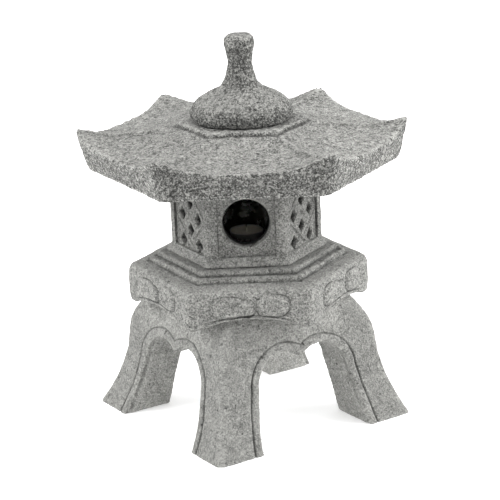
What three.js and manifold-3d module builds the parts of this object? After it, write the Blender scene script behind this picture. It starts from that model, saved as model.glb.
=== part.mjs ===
// A garden stone lantern of dry-stacked castings: a four-legged base, a hexagonal platform, a hollow
// light box with one round window and lattice panels, a hexagonal roof with upturned corners and a
// bell-shaped finial. A glass cup with a tealight stands inside. Millimetres, +Z up, origin on the
// ground on the upright axis. Angles turn from -Y, where the window is, towards +X.

import * as THREE from 'three';
import { mergeVertices } from 'three/addons/utils/BufferGeometryUtils.js';
import Module from 'manifold-3d';

const wasm = await Module();
wasm.setup();

// ---- driving sizes ----
const gap = 0.3;              // dry joint between two stacked pieces

const footHalf = 133;         // base, half its width across the soles
const baseHeight = 148;
const baseTurn = -12.3;       // degrees from -Y to the nearest leg
const apronHalf = 105;        // base, half its width above the legs
const flareTop = 95;          // height where the legs start to flare outwards
const legEdgeRound = 7;       // rounding of the outer corner of a leg
const archFootHalf = 71;      // arch between two legs: half its width on the ground
const archNeckHalf = 58;      // and half its width at its neck
const archNeckHeight = 70;
const archCrown = 101;        // the two high points of the arch
const archCusp = 90;          // the point that hangs between them
const crownSlack = 2.5;       // room between the base's crown and the platform's drops
const deckThickness = 25;     // base, stone left above its hollow

const platformFlats = 243;    // platform, across its flats
const platformHeight = 48;    // from its seat on the base to the seat of the light box
const dropDepth = 12.3;       // its corners hang down by this much around the base's crown
const dropWall = 10.6;
const wallRound = 5;          // rounding of its six corners
const archMargin = 11;        // drop left beside each corner before the edge arches up
const stepRise = 5.8;         // two steps lead up to the light box
const stepTread = 8.5;
const ledge = 9;              // ledge around the light box's foot
const lobeRelief = 2;         // carved cloud on each side, two lobes
const lobeWidth = 44;
const lobeHeight = 26;

const boxFlats = 151;         // light box, across its flats
const boxHeight = 99.5;
const boxWall = 16;
const panelDepth = 3;         // each side has a sunk panel
const pierWidth = 11.7;       // stone left beside each corner
const sillHeight = 11;
const lintelHeight = 12;
const footFlare = 5;
const footFlareHeight = 10;
const windowRim = 5.4;        // between the round window and the panel's edge
const latticeEdge = 14;       // from the panel's edge to the outer column of holes
const latticeEnd = 7.5;       // from the panel's ends to the outer rows of holes
const holeHalfWidth = 6;
const holeHalfHeight = 6.5;
const rearSide = 3;           // counted round from the window's side
const blindDepth = 8;         // the rear side's holes stop at this depth

const roofCorner = 191;       // roof, from the axis to a tip of the eave
const eaveLean = 10.7;        // the eave's face leans in by this much towards the soffit
const eaveHeight = 30.2;      // of the eave's face at the middle of a side
const tipRise = 15.2;         // the corners turn up this much higher
const slopeRise = 16.5;       // from the middle of the eave to the foot of the collar
const collarCorner = 76;
const collarHeight = 3.8;
const spigotLength = 8;       // the roof's spigot drops into the light box
const spigotSlack = 3;

const finialHeight = 98.7;    // above the collar
const domeRadius = 58;
const neckRadius = 13.5;
const neckHeight = 60.7;      // of the narrowest place above the collar
const knobRadius = 17.2;
const tenonRadius = 18;
const tenonLength = 25;
const tenonSlack = 2;

const cupRadius = 26;
const cupHeight = 60;
const cupWall = 2.5;
const cupFloor = 6;
const tinRadius = 19;
const tinHeight = 14;
const tinWall = 0.6;
const waxBelowRim = 1.5;
const sustainerRadius = 7;
const sustainerThickness = 0.8;
const wickRadius = 0.8;
const wickAboveWax = 8;

// ---- heights that follow from them ----
const platformSeat = baseHeight + gap;
const platformTop = platformSeat + platformHeight;
const boxSeat = platformTop + gap;
const roofSeat = boxSeat + boxHeight + gap;
const collarTop = roofSeat + eaveHeight + slopeRise + collarHeight;
const finialSeat = collarTop + gap;

// ---- helpers ----
const degrees = Math.PI / 180;

// Distance from the axis to the edge of a regular polygon with rounded corners; the angle is
// measured from one of its corners.
function polygonReach(sides, apothem, rounding, angle) {
  const half = Math.PI / sides;
  const fromCorner = angle - Math.round(angle / (2 * half)) * 2 * half;
  const fromFlat = half - Math.abs(fromCorner);
  const centre = (apothem - rounding) / Math.cos(half);
  if (Math.tan(fromFlat) * apothem <= centre * Math.sin(half)) {
    return apothem / Math.cos(fromFlat);
  }
  const across = centre * Math.sin(fromCorner);
  return centre * Math.cos(fromCorner) + Math.sqrt(rounding ** 2 - across ** 2);
}

// Rings for turned(): each gives the reach and the height at an angle.
const round = (radius, height) => () => [radius, height];
const hexagon = (apothem, rounding, height) => (angle) =>
  [polygonReach(6, apothem, rounding, angle - 30 * degrees), height];
const square = (apothem, rounding, height) => (angle) =>
  [polygonReach(4, apothem, rounding, angle), height];

// A lathe grid whose rings may be polygons, closed on the axis below and above.
function turned(rings, segments) {
  const profile = rings.map((ring, index) => new THREE.Vector2(1, index));
  profile.unshift(new THREE.Vector2(0, 0));
  profile.push(new THREE.Vector2(0, rings.length - 1));
  const geometry = new THREE.LatheGeometry(profile, segments).rotateX(Math.PI / 2);
  const position = geometry.attributes.position;
  for (let i = 0; i < position.count; i += 1) {
    const x = position.getX(i);
    const y = position.getY(i);
    const angle = Math.round(Math.atan2(x, -y) * segments / (2 * Math.PI)) * 2 * Math.PI / segments;
    const [reach, height] = rings[Math.round(position.getZ(i))](angle);
    const spread = Math.hypot(x, y) < 0.5 ? 0 : reach;
    position.setXYZ(i, spread * Math.sin(angle), -spread * Math.cos(angle), height);
  }
  return geometry;
}

// A plain lathe about the axis from [radius, height] pairs that start and end on it.
function lathed(points, segments) {
  const profile = points.map(([radius, height]) => new THREE.Vector2(radius, height));
  return new THREE.LatheGeometry(profile, segments).rotateX(Math.PI / 2);
}

// A vertical cylinder between two heights.
function cylinder(radius, low, high, segments) {
  return new THREE.CylinderGeometry(radius, radius, high - low, segments)
    .rotateX(Math.PI / 2)
    .translate(0, 0, (low + high) / 2);
}

// An outline drawn on a side wall (sideways, up) and pushed out from one distance to another.
function fromWall(shape, near, far, turn) {
  return new THREE.ExtrudeGeometry(shape, { depth: far - near, bevelEnabled: false, curveSegments: 8 })
    .translate(0, 0, near)
    .rotateX(Math.PI / 2)
    .rotateZ(turn);
}

function toSolid(geometry) {
  const bare = geometry.clone();
  bare.deleteAttribute('normal');
  bare.deleteAttribute('uv');
  const merged = mergeVertices(bare, 1e-4);
  const index = merged.index.array;
  const corners = [];
  for (let i = 0; i < index.length; i += 3) {
    const [a, b, c] = [index[i], index[i + 1], index[i + 2]];
    if (a !== b && b !== c && c !== a) {
      corners.push(a, b, c);
    }
  }
  return new wasm.Manifold(new wasm.Mesh({
    numProp: 3,
    vertProperties: new Float32Array(merged.attributes.position.array),
    triVerts: new Uint32Array(corners),
  }));
}

function toGeometry(solid) {
  const mesh = solid.getMesh();
  const geometry = new THREE.BufferGeometry();
  geometry.setAttribute('position', new THREE.BufferAttribute(mesh.vertProperties, 3));
  geometry.setIndex(new THREE.BufferAttribute(mesh.triVerts, 1));
  geometry.computeVertexNormals();
  return geometry;
}

const sixTurns = Array.from({ length: 6 }, (unused, side) => side * 60 * degrees);

// ---- base ----
// The hexagon inside the platform's drops limits the base's crown, a square turned against it.
function crownHalfWidth() {
  const flat = platformFlats / 2 - dropWall;
  const rooms = [0, 90].map((leg) => polygonReach(6, flat, wallRound, (baseTurn + leg - 30) * degrees));
  return (Math.min(...rooms) - crownSlack + (Math.SQRT2 - 1) * legEdgeRound) / Math.SQRT2;
}

function baseHalfWidth(height) {
  if (height < flareTop) {
    return apronHalf + (footHalf - apronHalf) * (1 - height / flareTop) ** 1.75;
  }
  const rise = (height - flareTop) / (baseHeight - flareTop);
  return apronHalf - (apronHalf - crownHalfWidth()) * rise ** 1.8;
}

// Two arches side by side with a pointed cusp between them, open at the ground.
function archShape() {
  const neck = archNeckHalf;
  const crownAt = neck * 0.5;
  const below = -5;
  const shape = new THREE.Shape();
  shape.moveTo(-archFootHalf, below);
  shape.lineTo(archFootHalf, below);
  shape.bezierCurveTo(archFootHalf - 5, 30, neck, 50, neck, archNeckHeight);
  shape.bezierCurveTo(neck, archCrown - 9, neck - 14, archCrown, crownAt, archCrown);
  shape.bezierCurveTo(crownAt * 0.5, archCrown, crownAt * 0.2, archCusp + 4, 0, archCusp);
  shape.bezierCurveTo(-crownAt * 0.2, archCusp + 4, -crownAt * 0.5, archCrown, -crownAt, archCrown);
  shape.bezierCurveTo(14 - neck, archCrown, -neck, archCrown - 9, -neck, archNeckHeight);
  shape.bezierCurveTo(-neck, 50, 5 - archFootHalf, 30, -archFootHalf, below);
  return shape;
}

function baseGeometry() {
  const levels = [0, 0.1, 0.22, 0.37, 0.55, 0.76, 1].map((share) => share * flareTop);
  for (const share of [0.22, 0.42, 0.6, 0.76, 0.9, 1]) {
    levels.push(flareTop + share * (baseHeight - flareTop));
  }
  const rings = levels.map((level) => square(baseHalfWidth(level), legEdgeRound, level));
  let solid = toSolid(turned(rings, 40));
  const reach = 2 * footHalf;
  for (const turn of [45 * degrees, 135 * degrees]) {
    solid = solid.subtract(toSolid(fromWall(archShape(), -reach, reach, turn)));
  }
  const hollowRadius = archNeckHalf * Math.SQRT2 - 2;
  const hollow = cylinder(hollowRadius, archCusp - 10, baseHeight - deckThickness, 36);
  return toGeometry(solid.subtract(toSolid(hollow)));
}

// ---- platform ----
function dropArchShape() {
  const half = platformFlats / 2 / Math.sqrt(3) - archMargin;
  const shape = new THREE.Shape();
  const bottom = platformSeat - dropDepth;
  shape.moveTo(-half, bottom - 1);
  shape.lineTo(half, bottom - 1);
  shape.lineTo(half, bottom);
  shape.bezierCurveTo(half * 0.8, bottom + dropDepth * 0.8, half * 0.5, platformSeat, 0, platformSeat);
  shape.bezierCurveTo(-half * 0.5, platformSeat, -half * 0.8, bottom + dropDepth * 0.8, -half, bottom);
  return shape;
}

function lobeShape(side) {
  const shape = new THREE.Shape();
  const height = platformSeat + 3 + lobeHeight / 2;
  shape.absellipse(side * (lobeWidth / 2 - 1), height, lobeWidth / 2, lobeHeight / 2, 0, 2 * Math.PI);
  return shape;
}

function platformGeometry() {
  const wall = platformFlats / 2;
  const bottom = platformSeat - dropDepth;
  const topStep = boxFlats / 2 + footFlare + ledge;
  const lowStep = topStep + stepTread;
  const rimTop = platformTop - 2 * stepRise;
  const rings = [
    hexagon(wall - 4.5, wallRound, bottom),
    hexagon(wall - 1.5, wallRound, bottom + 4),
    hexagon(wall, wallRound, bottom + 14),
    hexagon(wall, wallRound, bottom + 30),
    hexagon(wall - 1, wallRound, rimTop - 8),
    hexagon(wall - 3.5, wallRound, rimTop - 3.5),
    hexagon(wall - 7.5, wallRound, rimTop - 1.5),
    hexagon(lowStep + 1.5, 4, rimTop),
    hexagon(lowStep, 4, rimTop + stepRise - 1),
    hexagon(lowStep - 1.5, 4, rimTop + stepRise),
    hexagon(topStep + 1.5, 4, rimTop + stepRise),
    hexagon(topStep, 4, platformTop - 1),
    hexagon(topStep - 1.5, 4, platformTop),
  ];
  let solid = toSolid(turned(rings, 24));
  for (const turn of sixTurns) {
    for (const side of [-1, 1]) {
      const lobe = fromWall(lobeShape(side), wall - dropWall, wall + lobeRelief, turn);
      solid = solid.add(toSolid(lobe));
    }
  }
  const recess = [bottom - 1, platformSeat].map((height) => hexagon(wall - dropWall, wallRound, height));
  solid = solid.subtract(toSolid(turned(recess, 24)));
  for (const turn of sixTurns) {
    solid = solid.subtract(toSolid(fromWall(dropArchShape(), wall - 2 * dropWall, wall + 20, turn)));
  }
  return toGeometry(solid);
}

// ---- light box ----
const boxBore = boxFlats / 2 - panelDepth - boxWall;
const panelHalf = boxFlats / 2 / Math.sqrt(3) - pierWidth;
const panelLow = boxSeat + sillHeight;
const panelHigh = boxSeat + boxHeight - lintelHeight;
const panelMiddle = (panelLow + panelHigh) / 2;

function panelShape() {
  const shape = new THREE.Shape();
  shape.moveTo(-panelHalf, panelLow);
  shape.lineTo(panelHalf, panelLow);
  shape.lineTo(panelHalf, panelHigh);
  shape.lineTo(-panelHalf, panelHigh);
  return shape;
}

function windowShape() {
  const shape = new THREE.Shape();
  shape.absarc(0, panelMiddle, panelHalf - windowRim, 0, 2 * Math.PI);
  return shape;
}

function diamondShape(sideways, up) {
  const shape = new THREE.Shape();
  shape.moveTo(sideways - holeHalfWidth, up);
  shape.lineTo(sideways, up - holeHalfHeight);
  shape.lineTo(sideways + holeHalfWidth, up);
  shape.lineTo(sideways, up + holeHalfHeight);
  return shape;
}

// Rows of two holes and of one hole take turns, two holes in the lowest and highest rows.
function latticeShapes() {
  const columnStep = panelHalf - latticeEdge;
  const rowStep = (panelHigh - panelLow - 2 * latticeEnd) / 4;
  const shapes = [];
  for (let row = -2; row <= 2; row += 1) {
    const columns = row % 2 === 0 ? [-1, 1] : [0];
    for (const column of columns) {
      shapes.push(diamondShape(column * columnStep, panelMiddle + row * rowStep));
    }
  }
  return shapes;
}

function lightBoxGeometry() {
  const wall = boxFlats / 2;
  const rings = [
    hexagon(wall + footFlare, 4, boxSeat),
    hexagon(wall + footFlare, 4, boxSeat + footFlareHeight * 0.3),
    hexagon(wall + footFlare * 0.5, 4, boxSeat + footFlareHeight * 0.6),
    hexagon(wall, 4, boxSeat + footFlareHeight),
    hexagon(wall, 4, boxSeat + boxHeight),
  ];
  let solid = toSolid(turned(rings, 24));
  solid = solid.subtract(toSolid(cylinder(boxBore, boxSeat - 1, boxSeat + boxHeight + 1, 36)));
  for (const [side, turn] of sixTurns.entries()) {
    solid = solid.subtract(toSolid(fromWall(panelShape(), wall - panelDepth, wall + 10, turn)));
    const openings = side === 0 ? [windowShape()] : latticeShapes();
    const inner = side === rearSide ? wall - panelDepth - blindDepth : boxBore / 2;
    for (const opening of openings) {
      solid = solid.subtract(toSolid(fromWall(opening, inner, wall, turn)));
    }
  }
  return toGeometry(solid);
}

// ---- roof ----
// A ring of the roof's top: inward is 0 at the eave and 1 at the collar. The corners stand higher
// than the middles of the sides, most of all at the tips.
function slopeRing(inward) {
  const eave = roofCorner * Math.cos(30 * degrees);
  const collar = collarCorner * Math.cos(30 * degrees);
  const apothem = eave + (collar - eave) * inward;
  return (angle) => {
    const reach = polygonReach(6, apothem, 6, angle - 30 * degrees);
    const fromFlat = angle - Math.round(angle / (60 * degrees)) * 60 * degrees;
    const toCorner = Math.abs(Math.tan(fromFlat) / Math.tan(30 * degrees));
    const lift = tipRise * (1 - inward) ** 2 * toCorner ** 2.3;
    return [reach, roofSeat + eaveHeight + slopeRise * inward ** 1.8 + lift];
  };
}

// A ring of the eave's leaning face: up is 0 at the soffit and 1 at the top edge.
function eaveRing(up) {
  const top = slopeRing(0);
  return (angle) => {
    const [reach, height] = top(angle);
    return [reach - eaveLean * (1 - up), roofSeat + (height - roofSeat) * up];
  };
}

function roofGeometry() {
  const collar = collarCorner * Math.cos(30 * degrees);
  const rings = [
    round(boxBore - spigotSlack - 1.5, roofSeat - spigotLength),
    round(boxBore - spigotSlack, roofSeat - spigotLength + 1.5),
    round(boxBore - spigotSlack, roofSeat),
    eaveRing(0),
    eaveRing(0.5),
    eaveRing(1),
    ...[0.08, 0.22, 0.4, 0.6, 0.8, 1].map(slopeRing),
    hexagon(collar - 0.4, 14, collarTop - 1.2),
    hexagon(collar - 2, 14, collarTop),
    round(tenonRadius + tenonSlack, collarTop),
    round(tenonRadius + tenonSlack, collarTop - tenonLength - tenonSlack),
  ];
  return turned(rings, 48);
}

// ---- finial ----
function finialGeometry() {
  const seat = finialSeat;
  const top = finialSeat + finialHeight - gap;
  const necking = domeRadius - neckRadius;
  const slope = [[0.98, 15], [0.9, 21], [0.74, 27], [0.5, 31.8], [0.31, 35.2], [0.18, 38.7], [0.08, 45.7]];
  const points = [
    [0, seat - tenonLength],
    [tenonRadius - 1.5, seat - tenonLength],
    [tenonRadius, seat - tenonLength + 1.5],
    [tenonRadius, seat],
    [domeRadius - 5, seat],
    [domeRadius - 1.2, seat + 2.5],
    [domeRadius, seat + 8],
    ...slope.map(([share, height]) => [neckRadius + necking * share, seat + height]),
    [neckRadius + 0.9, seat + neckHeight - 8],
    [neckRadius, seat + neckHeight],
    [neckRadius + 1.6, top - 25],
    [knobRadius - 1, top - 15],
    [knobRadius, top - 9.5],
    [knobRadius - 1, top - 5],
    [knobRadius - 5, top - 1.6],
    [knobRadius - 11, top - 0.3],
    [0, top],
  ];
  return lathed(points, 32);
}

// ---- candle cup and tealight ----
const cupSeat = boxSeat;
const tinSeat = cupSeat + cupFloor + gap;
const waxTop = tinSeat + tinHeight - waxBelowRim;
const waxSeat = tinSeat + tinWall + sustainerThickness + 2 * gap;

function cupGeometry() {
  const inner = cupRadius - cupWall;
  return lathed([
    [0, cupSeat],
    [cupRadius - 2.5, cupSeat],
    [cupRadius, cupSeat + 2.5],
    [cupRadius, cupSeat + cupHeight - 0.8],
    [cupRadius - cupWall / 2, cupSeat + cupHeight],
    [inner, cupSeat + cupHeight - 0.8],
    [inner, cupSeat + cupFloor + 1.5],
    [inner - 1.5, cupSeat + cupFloor],
    [0, cupSeat + cupFloor],
  ], 36);
}

function tinGeometry() {
  const inner = tinRadius - tinWall;
  const top = tinSeat + tinHeight;
  return lathed([
    [0, tinSeat],
    [inner - 0.6, tinSeat],
    [tinRadius, tinSeat + 1.2],
    [tinRadius, top - 0.8],
    [tinRadius + 0.7, top - 0.4],
    [tinRadius + 0.3, top],
    [inner, top - 0.3],
    [inner, tinSeat + 1.4],
    [inner - 0.9, tinSeat + tinWall],
    [0, tinSeat + tinWall],
  ], 36);
}

function waxGeometry() {
  const radius = tinRadius - tinWall - gap;
  const block = lathed([
    [0, waxSeat],
    [radius - 1.5, waxSeat],
    [radius, waxSeat + 1.5],
    [radius, waxTop],
    [radius - 2, waxTop - 0.5],
    [wickRadius + 3, waxTop - 0.9],
    [0, waxTop - 0.9],
  ], 32);
  const wickHole = cylinder(wickRadius + gap, waxSeat - 1, waxTop + 1, 10);
  return toGeometry(toSolid(block).subtract(toSolid(wickHole)));
}

function sustainerGeometry() {
  const low = tinSeat + tinWall + gap;
  return cylinder(sustainerRadius, low, low + sustainerThickness, 20);
}

function wickGeometry() {
  return cylinder(wickRadius, waxSeat, waxTop + wickAboveWax, 8);
}

// ---- assembly ----
const paleStone = { color: 0xa6a7a2, roughness: 0.95, metalness: 0 };
const greyStone = { color: 0x9a9b96, roughness: 0.95, metalness: 0 };
const smokedGlass = { color: 0x14171a, roughness: 0.08, metalness: 0, transparent: true, opacity: 0.6 };
const thinAluminium = { color: 0xb9bcbe, roughness: 0.35, metalness: 1 };
const whiteWax = { color: 0xe6e0d2, roughness: 0.5, metalness: 0 };
const tinnedSteel = { color: 0x8d9094, roughness: 0.4, metalness: 1 };
const cottonCord = { color: 0xcfc6b0, roughness: 0.9, metalness: 0 };

function piece(name, geometry, finish, turn = 0) {
  const mesh = new THREE.Mesh(geometry, new THREE.MeshStandardMaterial(finish));
  mesh.name = name;
  mesh.rotation.z = turn * degrees;
  return mesh;
}

const group = new THREE.Group();
group.add(
  piece('base', baseGeometry(), greyStone, baseTurn),
  piece('platform', platformGeometry(), greyStone),
  piece('light_box', lightBoxGeometry(), greyStone),
  piece('roof', roofGeometry(), paleStone),
  piece('finial', finialGeometry(), paleStone),
);

const tealight = new THREE.Group();
tealight.add(
  piece('tealight_tin', tinGeometry(), thinAluminium),
  piece('tealight_wax', waxGeometry(), whiteWax),
  piece('wick_sustainer', sustainerGeometry(), tinnedSteel),
  piece('wick', wickGeometry(), cottonCord),
);
group.add(piece('candle_cup', cupGeometry(), smokedGlass), tealight);

export default group;
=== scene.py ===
# A garden stone lantern: five dry-stacked castings round a smoked glass cup with a tealight.
# Metres, +Z up. Heights come from the frame; angles turn from -Y, where the window is, towards +X.
import math

import bmesh
import bpy
import numpy as np
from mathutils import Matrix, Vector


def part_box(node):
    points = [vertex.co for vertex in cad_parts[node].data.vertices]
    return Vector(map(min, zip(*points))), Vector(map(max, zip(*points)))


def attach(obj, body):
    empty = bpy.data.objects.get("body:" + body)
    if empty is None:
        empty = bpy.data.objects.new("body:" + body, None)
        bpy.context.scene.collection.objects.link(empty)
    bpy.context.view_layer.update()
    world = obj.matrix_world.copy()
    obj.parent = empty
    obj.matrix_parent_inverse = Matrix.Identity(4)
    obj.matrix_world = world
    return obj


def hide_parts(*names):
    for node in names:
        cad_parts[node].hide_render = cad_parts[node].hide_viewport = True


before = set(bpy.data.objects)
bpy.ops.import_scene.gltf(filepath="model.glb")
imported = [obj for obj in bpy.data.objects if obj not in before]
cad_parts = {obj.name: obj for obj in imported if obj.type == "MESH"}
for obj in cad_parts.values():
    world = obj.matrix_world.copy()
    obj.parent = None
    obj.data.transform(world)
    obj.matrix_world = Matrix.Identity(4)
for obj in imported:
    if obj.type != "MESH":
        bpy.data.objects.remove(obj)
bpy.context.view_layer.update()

hexTurn = math.radians(30)      # a six-sided ring has its flats to -Y and +Y
cornerOfHex = 1 / math.cos(hexTurn)


# modelling helpers

def deselectAll():
    if bpy.context.object and bpy.context.object.mode != "OBJECT":
        bpy.ops.object.mode_set(mode="OBJECT")
    bpy.ops.object.select_all(action="DESELECT")


def makeActive(piece):
    deselectAll()
    piece.select_set(True)
    bpy.context.view_layer.objects.active = piece


def editAll():
    bpy.ops.object.mode_set(mode="EDIT")
    bpy.ops.mesh.select_all(action="SELECT")


def applyPlace():
    bpy.ops.object.transform_apply(location=True, rotation=True, scale=True)


def raiseForm(name, sides, rings, turn=0.0):
    # a disc, extruded and resized from ring to ring; each ring is (reach, height)
    deselectAll()
    reach, height = rings[0]
    bpy.ops.mesh.primitive_circle_add(
        vertices=sides, radius=reach, fill_type="NGON", location=(0, 0, height), rotation=(0, 0, turn))
    piece = bpy.context.object
    piece.name = piece.data.name = name
    applyPlace()
    editAll()
    for nextReach, nextHeight in rings[1:]:
        rise = (0, 0, nextHeight - height)
        bpy.ops.mesh.extrude_region_move(TRANSFORM_OT_translate={"value": rise})
        grow = nextReach / reach
        bpy.ops.transform.resize(value=(grow, grow, 1), center_override=(0, 0, nextHeight))
        reach, height = nextReach, nextHeight
    bpy.ops.mesh.select_all(action="SELECT")
    bpy.ops.mesh.normals_make_consistent(inside=False)
    bpy.ops.object.mode_set(mode="OBJECT")
    return piece


def roundCorners(piece, offset, segments=4):
    # bevels the edges that run up the piece, from ring to ring
    makeActive(piece)
    bpy.ops.object.mode_set(mode="EDIT")
    bpy.ops.mesh.select_mode(type="EDGE")
    bpy.ops.mesh.select_all(action="DESELECT")
    shape = bmesh.from_edit_mesh(piece.data)
    for edge in shape.edges:
        low, high = (vert.co for vert in edge.verts)
        across = (high - low).xy.normalized()
        radial = ((high + low) / 2).xy.normalized()
        edge.select = (high - low).xy.length < 1e-6 or abs(across.dot(radial)) > 0.98
    bmesh.update_edit_mesh(piece.data)
    bpy.ops.mesh.bevel(offset=offset, segments=segments, affect="EDGES")
    bpy.ops.object.mode_set(mode="OBJECT")


def join(piece, other, how="DIFFERENCE"):
    # cuts the other shape out of the piece, or adds it; the other shape is used up
    makeActive(piece)
    modifier = piece.modifiers.new("join", "BOOLEAN")
    modifier.operation = how
    modifier.solver = "EXACT"
    modifier.object = other
    bpy.ops.object.modifier_apply(modifier=modifier.name)
    bpy.data.objects.remove(other)


def barThrough(name, sides, radius, near, far, side, angle, height, roll=0.0, squeeze=(1, 1)):
    # a bar that lies level, pointing away from the axis in the direction of the angle;
    # side is its shift along the wall, squeeze its stretch along the wall and upwards
    deselectAll()
    bpy.ops.mesh.primitive_cylinder_add(
        vertices=sides, radius=radius, depth=far - near, end_fill_type="NGON", rotation=(0, 0, roll))
    bar = bpy.context.object
    bar.name = bar.data.name = name
    applyPlace()
    editAll()
    bpy.ops.transform.resize(value=(squeeze[0], squeeze[1], 1), center_override=(0, 0, 0))
    bpy.ops.object.mode_set(mode="OBJECT")
    middle = (near + far) / 2
    out = (math.sin(angle), -math.cos(angle))
    along = (math.cos(angle), math.sin(angle))
    bar.rotation_euler = (math.radians(90), 0, angle)
    bar.location = (out[0] * middle + along[0] * side, out[1] * middle + along[1] * side, height)
    applyPlace()
    return bar


def finishWith(piece, kind, **settings):
    makeActive(piece)
    modifier = piece.modifiers.new(kind.lower(), kind)
    for name, value in settings.items():
        setattr(modifier, name, value)
    bpy.ops.object.modifier_apply(modifier=modifier.name)


def castSkin(piece, voxel, softening):
    # one even skin over the joined shapes, with the arrises softened as they come from a mould
    finishWith(piece, "REMESH", mode="VOXEL", voxel_size=voxel)
    finishWith(piece, "SMOOTH", factor=0.5, iterations=softening)


def roughen(piece, layers):
    # a cloudy unevenness at a few scales; each layer is (size, depth)
    for size, depth in layers:
        texture = bpy.data.textures.new("stone", "CLOUDS")
        texture.noise_scale = size
        texture.noise_depth = 2
        finishWith(piece, "DISPLACE", texture=texture, texture_coords="LOCAL", strength=depth,
                   mid_level=0.5)
        bpy.data.textures.remove(texture)


def readPoints(piece):
    points = np.zeros(len(piece.data.vertices) * 3)
    piece.data.vertices.foreach_get("co", points)
    return points.reshape(-1, 3)


def writePoints(piece, points):
    piece.data.vertices.foreach_set("co", points.ravel())
    piece.data.update()


def readNormals(piece):
    normals = np.zeros(len(piece.data.vertices) * 3)
    piece.data.vertices.foreach_get("normal", normals)
    return normals.reshape(-1, 3)


def refine(piece, test):
    # splits the faces near fine carving, so that it comes out crisp
    centres = np.zeros(len(piece.data.polygons) * 3)
    piece.data.polygons.foreach_get("center", centres)
    chosen = test(centres.reshape(-1, 3))
    makeActive(piece)
    bpy.ops.object.mode_set(mode="EDIT")
    bpy.ops.mesh.select_mode(type="FACE")
    bpy.ops.mesh.select_all(action="DESELECT")
    shape = bmesh.from_edit_mesh(piece.data)
    for face, near in zip(shape.faces, chosen):
        if near:
            face.select_set(True)
    bmesh.update_edit_mesh(piece.data)
    bpy.ops.mesh.subdivide(number_cuts=1)
    bpy.ops.object.mode_set(mode="OBJECT")


def carve(piece, rule):
    # rule takes the points and their normals, and gives how far each sinks and how much dirt and painted
    # shade it holds
    points, normals = readPoints(piece), readNormals(piece)
    depth, dirtAndShade = rule(points, normals)
    writePoints(piece, points - normals * depth[:, None])
    return dirtAndShade


def hollowness(piece, rounds):
    # how far each point lies below the mean of the points round it, in metres
    points, normals = readPoints(piece), readNormals(piece)
    edges = np.zeros(len(piece.data.edges) * 2, int)
    piece.data.edges.foreach_get("vertices", edges)
    first, second = edges.reshape(-1, 2).T
    count = np.bincount(edges, minlength=len(points))[:, None]
    smooth = points
    for turn in range(rounds):
        total = np.stack([np.bincount(first, smooth[second, axis], len(points))
                          + np.bincount(second, smooth[first, axis], len(points))
                          for axis in range(3)], axis=1)
        smooth = total / count
    return ((smooth - points) * normals).sum(1)


def paintWeather(piece, dirtAndShade, shade=0.0):
    # dirt and painted shade gather in carved lines and hollows, raised places are rubbed pale, steep is
    # how far a place turns from facing up, and shade darkens the colour where it is above zero and
    # lightens it where below
    hollow = hollowness(piece, 6)
    points, normals = readPoints(piece), readNormals(piece)
    steep = 1 - ramp(normals[:, 2] + 0.12 * wander(points, 0.03), 0.30, 0.85)
    marks = {
        "dirtAndShade": np.clip(dirtAndShade + np.clip(hollow / 0.0006, 0, 1) * 0.6, 0, 1),
        "worn": np.clip(-hollow / 0.0007, 0, 1),
        "steep": steep,
        "shade": shade + np.zeros(len(points)),
    }
    for name, values in marks.items():
        attribute = piece.data.attributes.new(name, "FLOAT", "POINT")
        attribute.data.foreach_set("value", values.astype(np.float32))


def closeUp(name, piece, body, node, material, smoothAngle=None):
    # last steps of every piece: smooth shading, finish, and its place in the frame
    makeActive(piece)
    piece.name = piece.data.name = name
    if smoothAngle is None:
        bpy.ops.object.shade_smooth()
    else:
        bpy.ops.object.shade_smooth_by_angle(angle=math.radians(smoothAngle))
    piece.data.materials.clear()
    piece.data.materials.append(material)
    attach(piece, body)
    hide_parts(node)
    print("made", name, len(piece.data.polygons), "faces")


# measures on the stones

def onWalls(points, walls, turn=0.0):
    # shift along the nearest of the walls round the axis, and distance out to it
    step = 2 * math.pi / walls
    angle = np.arctan2(points[:, 0], -points[:, 1]) - turn
    local = angle - np.round(angle / step) * step
    reach = np.hypot(points[:, 0], points[:, 1])
    return reach * np.sin(local), reach * np.cos(local)


def wander(points, size):
    # slow change over a surface, from -1 to 1
    x, y, z = (points / size).T
    return (np.sin(2.1 * x + np.sin(1.7 * y + 0.4)) + np.sin(2.3 * y + np.sin(1.9 * z + 1.1))
            + np.sin(2.7 * z + np.sin(1.3 * x + 2.3))) / 3


def ridge(distance, width):
    return np.exp(-(distance / width) ** 2)


def ramp(value, low, high):
    share = np.clip((value - low) / (high - low), 0, 1)
    return share * share * (3 - 2 * share)


def toSegment(across, up, start, end):
    # distance in a wall's plane to a straight scratch
    runX, runZ = end[0] - start[0], end[1] - start[1]
    share = ((across - start[0]) * runX + (up - start[1]) * runZ) / (runX ** 2 + runZ ** 2)
    share = np.clip(share, 0, 1)
    return np.hypot(across - start[0] - share * runX, up - start[1] - share * runZ)


# materials

class Reading:
    # a socket that can be used in sums
    def __init__(self, recipe, socket):
        self.recipe = recipe
        self.socket = socket

    def sum(self, operation, first, second):
        return self.recipe.add("ShaderNodeMath", {"operation": operation}, {0: first, 1: second})

    def __add__(self, other):
        return self.sum("ADD", self, other)

    def __radd__(self, other):
        return self.sum("ADD", other, self)

    def __sub__(self, other):
        return self.sum("SUBTRACT", self, other)

    def __rsub__(self, other):
        return self.sum("SUBTRACT", other, self)

    def __mul__(self, other):
        return self.sum("MULTIPLY", self, other)

    def __rmul__(self, other):
        return self.sum("MULTIPLY", other, self)

    def __truediv__(self, other):
        return self.sum("DIVIDE", self, other)

    def __pow__(self, other):
        return self.sum("POWER", self, other)


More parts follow.
